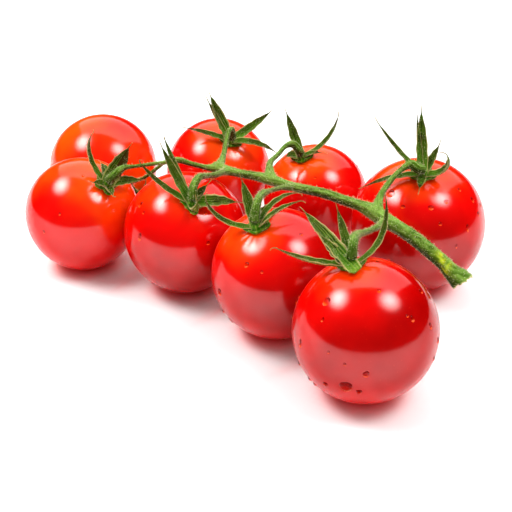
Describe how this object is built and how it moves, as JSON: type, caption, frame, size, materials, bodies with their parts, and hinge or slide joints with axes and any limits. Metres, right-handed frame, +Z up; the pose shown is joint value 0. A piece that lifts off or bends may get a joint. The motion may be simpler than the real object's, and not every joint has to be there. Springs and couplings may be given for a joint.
{
  "type": "truss of tomatoes",
  "caption": "Truss of small round tomatoes lying as picked: fruits in two rows on one green vine, each with a calyx of long narrow sepals.",
  "frame": {"origin": "on the table plane, under the middle of the truss's bounding box", "axes": "+X along the main stem towards its cut end, +Y towards the row of four fruits that stands farther from the picture's camera, +Z up from the table"},
  "size_m": [0.1496, 0.0949, 0.052],
  "materials": {
    "tomato_skin": "smooth glossy red fruit skin, a little more orange at the shoulders",
    "vine": "satin green stem, finely hairy and ridged along its length",
    "sepal": "matte dark green leaf, finely hairy, with dry brown tips"
  },
  "bodies": {
    "root": {"vine": "vine", "calyx_1": "sepal", "calyx_2": "sepal", "calyx_3": "sepal", "calyx_4": "sepal", "calyx_5": "sepal", "calyx_6": "sepal", "calyx_7": "sepal", "calyx_8": "sepal", "tomato_1": "tomato_skin", "tomato_2": "tomato_skin", "tomato_3": "tomato_skin", "tomato_4": "tomato_skin", "tomato_5": "tomato_skin", "tomato_6": "tomato_skin", "tomato_7": "tomato_skin", "tomato_8": "tomato_skin"}
  },
  "joints": []
}
